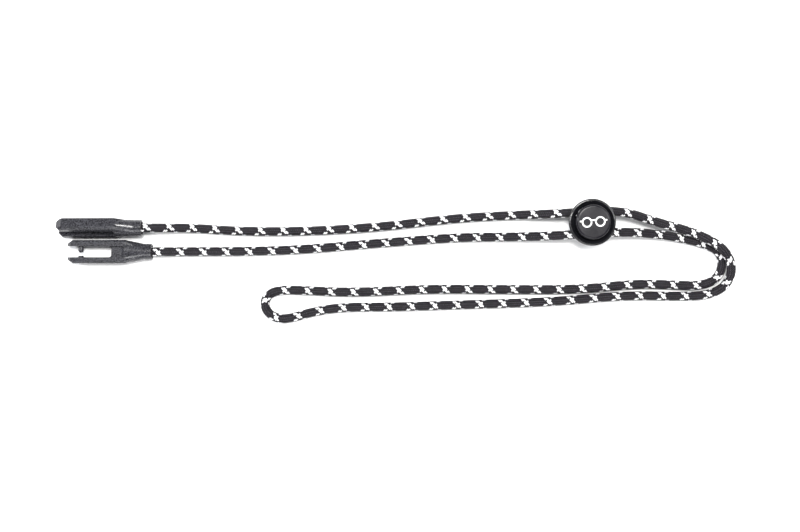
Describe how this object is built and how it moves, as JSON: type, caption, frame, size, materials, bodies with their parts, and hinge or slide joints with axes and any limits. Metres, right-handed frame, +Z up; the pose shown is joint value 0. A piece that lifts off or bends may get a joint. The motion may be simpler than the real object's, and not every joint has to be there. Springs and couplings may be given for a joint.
{
  "type": "retainer cord with cord lock",
  "caption": "Looped braided retainer cord threaded through a round push-button cord lock, with a small forked clip on each end.",
  "frame": {"origin": "centre of the cord lock's flat base, on the surface the article lies on", "axes": "+Z up out of the push button, +X along the two cord bores away from the clips"},
  "size_m": [0.2162, 0.0399, 0.0119],
  "materials": {
    "lock_shell": "moulded, smooth with a soft gloss",
    "lock_button": "moulded, satin",
    "spring_steel": "drawn round wire",
    "cord": "tight braid, black with white flecks",
    "clip": "moulded, dull with a soft sheen",
    "ferrule": "plain crimped sleeve"
  },
  "bodies": {
    "cord_set": {"braided_cord": "cord", "clip_upper": "clip", "clip_lower": "clip", "ferrule_upper": "ferrule", "ferrule_lower": "ferrule"},
    "lock": {"lock_body": "lock_shell", "lock_spring": "spring_steel"},
    "button": {"lock_button": "lock_button"}
  },
  "joints": [
    {"name": "lock_slide", "type": "slide", "parent": "cord_set", "child": "lock", "axis": [1, 0, 0], "range_m": [-0.04, 0], "deforming": ["braided_cord"]},
    {"name": "button_press", "type": "slide", "parent": "lock", "child": "button", "axis": [0, 0, -1], "range_m": [0, 0.002], "stiffness_N_per_m": 1280, "deforming": ["lock_spring"]}
  ]
}
